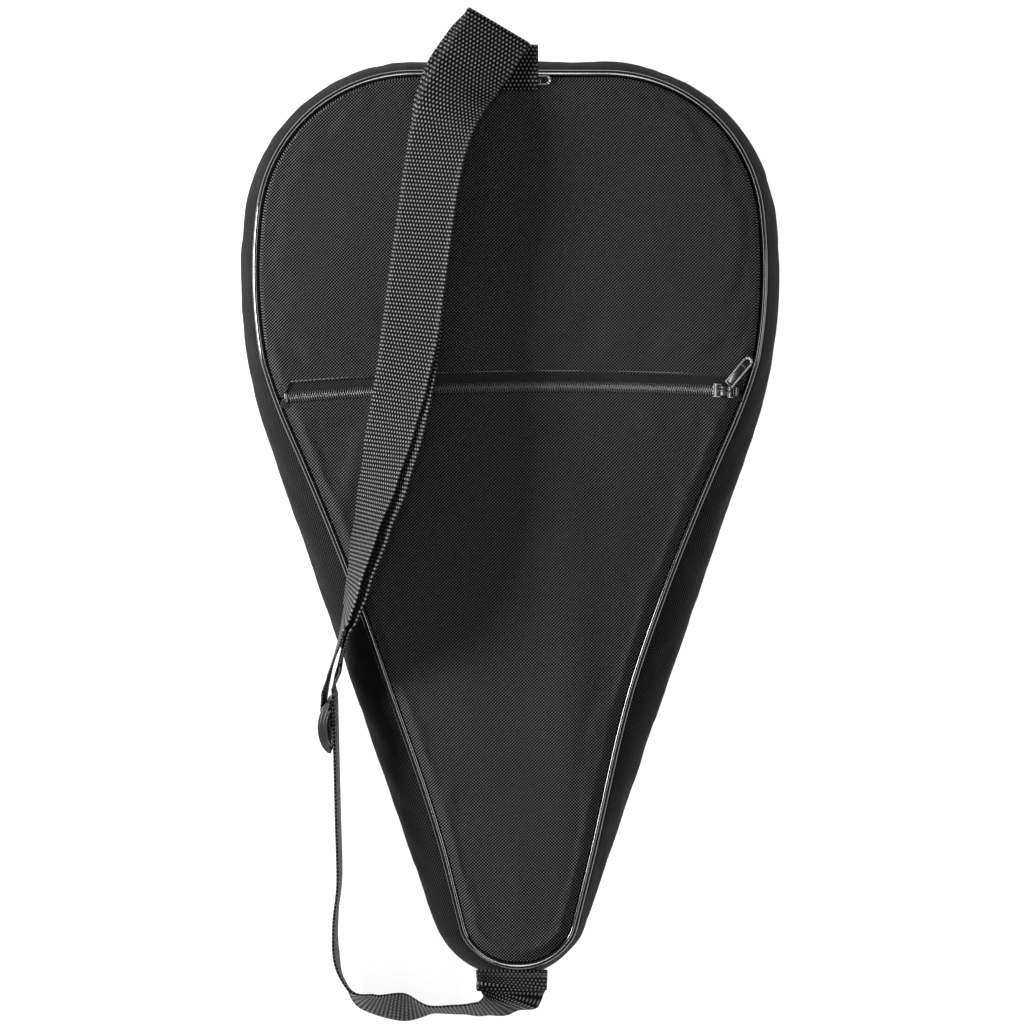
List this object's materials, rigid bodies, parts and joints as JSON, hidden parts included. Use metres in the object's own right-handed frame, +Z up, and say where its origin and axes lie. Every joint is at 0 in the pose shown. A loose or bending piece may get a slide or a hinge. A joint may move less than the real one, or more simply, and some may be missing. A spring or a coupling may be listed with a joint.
{
  "type": "paddle case",
  "caption": "Soft padded racket-sport case with a zipped hinged head cover, zipped front pocket, piped edges and a webbing strap with adjuster.",
  "frame": {"origin": "on the floor, at the middle of the whole object's box", "axes": "+Y from the tip to the head, +Z up off the back panel, +X to the right seen from the front"},
  "size_m": [0.2914, 0.5437, 0.0852],
  "materials": {
    "shell_fabric": "woven polyester, satin sheen",
    "padding_foam": "open foam, matte",
    "lining_fabric": "plain lining, matte",
    "piping_vinyl": "glossy bound piping",
    "zip_tape": "woven tape, matte",
    "zip_coil": "coil teeth, semi-matte",
    "zip_metal": "black enamel, glossy, worn edges",
    "webbing": "ribbed webbing, satin",
    "adjuster_plastic": "moulded, semi-gloss"
  },
  "bodies": {
    "case": {"back_panel": "shell_fabric", "back_padding": "padding_foam", "back_lining": "lining_fabric", "back_piping": "piping_vinyl", "gusset": "shell_fabric", "front_piping": "piping_vinyl", "pocket_panel": "shell_fabric", "pocket_inner_wall": "shell_fabric", "lower_front_padding": "padding_foam", "lower_front_lining": "lining_fabric", "pocket_welt": "shell_fabric", "pocket_zip_row_upper": "zip_coil", "pocket_zip_row_lower": "zip_coil", "pocket_zip_tape_upper": "zip_tape", "pocket_zip_tape_lower": "zip_tape", "pocket_zip_stop_left": "zip_metal", "pocket_zip_stop_right": "zip_metal", "main_zip_row_outer": "zip_coil", "main_zip_tape_outer": "zip_tape", "strap_front_run": "webbing", "strap_long_run": "webbing", "strap_bottom_anchor": "webbing"},
    "head_cover": {"head_panel": "shell_fabric", "head_padding": "padding_foam", "head_lining": "lining_fabric", "main_zip_row_inner": "zip_coil", "main_zip_tape_inner": "zip_tape", "strap_top_tab": "webbing", "strap_top_loop": "webbing"},
    "pocket_slider": {"pocket_slider": "zip_metal"},
    "pocket_pull": {"pocket_pull": "zip_metal"},
    "main_slider_right": {"main_slider_right": "zip_metal"},
    "main_slider_left": {"main_slider_left": "zip_metal"},
    "main_pull_right": {"main_pull_right": "zip_metal"},
    "main_pull_left": {"main_pull_left": "zip_metal"},
    "adjuster": {"strap_adjuster": "adjuster_plastic", "strap_loop_end": "webbing"}
  },
  "joints": [
    {"name": "head_cover_hinge", "type": "hinge", "parent": "case", "child": "head_cover", "pos_m": [0, 0.087, 0.055], "axis": [1, 0, 0], "range_deg": [0, 105], "deforming": ["strap_top_loop", "strap_front_run", "strap_long_run"]},
    {"name": "pocket_slider_run", "type": "hinge", "parent": "case", "child": "pocket_slider", "pos_m": [0.024, -1.6179, 0.0484], "axis": [0, 0, 1], "range_deg": [0, 7.5]},
    {"name": "pocket_pull_flip", "type": "hinge", "parent": "pocket_slider", "child": "pocket_pull", "pos_m": [0.1128, 0.06976, 0.04995], "axis": [0.766, -0.6428, 0], "range_deg": [0, 165]},
    {"name": "main_slider_right_run", "type": "slide", "parent": "head_cover", "child": "main_slider_right", "axis": [1, 0, 0], "range_m": [0, 0.045]},
    {"name": "main_slider_left_run", "type": "slide", "parent": "head_cover", "child": "main_slider_left", "axis": [-1, 0, 0], "range_m": [0, 0.029]},
    {"name": "main_pull_right_swivel", "type": "hinge", "parent": "main_slider_right", "child": "main_pull_right", "pos_m": [-0.0008, 0.2341, 0.04735], "axis": [0, 0, 1], "range_deg": [0, 25]},
    {"name": "main_pull_left_swivel", "type": "hinge", "parent": "main_slider_left", "child": "main_pull_left", "pos_m": [-0.0165, 0.2341, 0.04735], "axis": [0, 0, -1], "range_deg": [0, 25]},
    {"name": "adjuster_slide", "type": "slide", "parent": "case", "child": "adjuster", "axis": [0.0212, -0.9988, -0.0449], "range_m": [0, 0.065], "deforming": ["strap_front_run"]}
  ]
}
